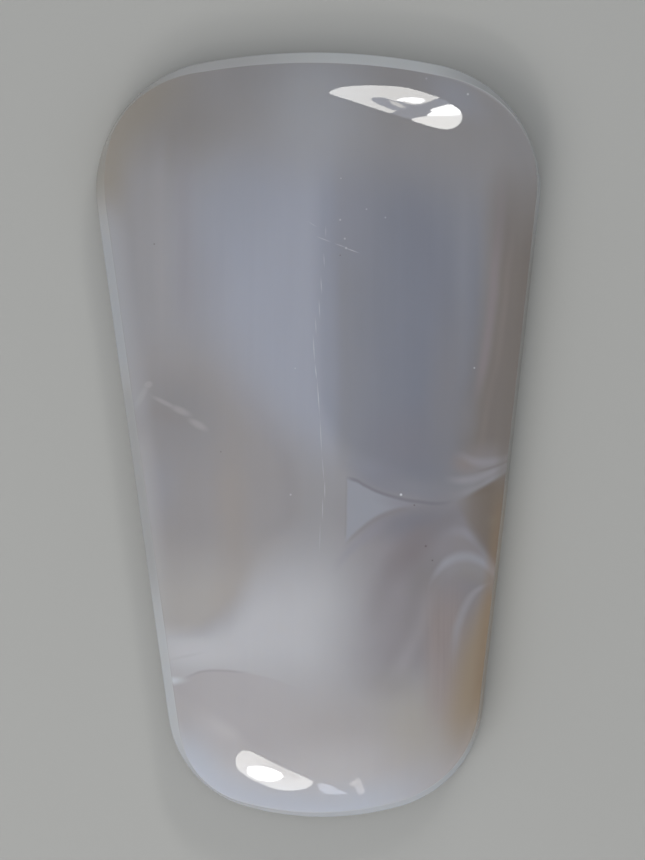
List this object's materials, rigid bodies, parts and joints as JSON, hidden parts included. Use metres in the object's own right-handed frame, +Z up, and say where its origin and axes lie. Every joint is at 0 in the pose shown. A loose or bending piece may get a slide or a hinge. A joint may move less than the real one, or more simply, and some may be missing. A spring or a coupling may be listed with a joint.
{
  "type": "polished agate cabochon",
  "caption": "Polished freeform agate: a tapered, rounded low dome of grey banded stone with a ground girdle edge and a flat back, for setting in jewellery or display.",
  "frame": {"origin": "middle of the flat back, on the surface that the stone lies on", "axes": "+Z up through the dome, +Y along the stone to its wide end, +X across it"},
  "size_m": [0.0232, 0.04, 0.006],
  "materials": {
    "polished_agate": "polished"
  },
  "bodies": {
    "root": {"agate_stone": "polished_agate"}
  },
  "joints": []
}
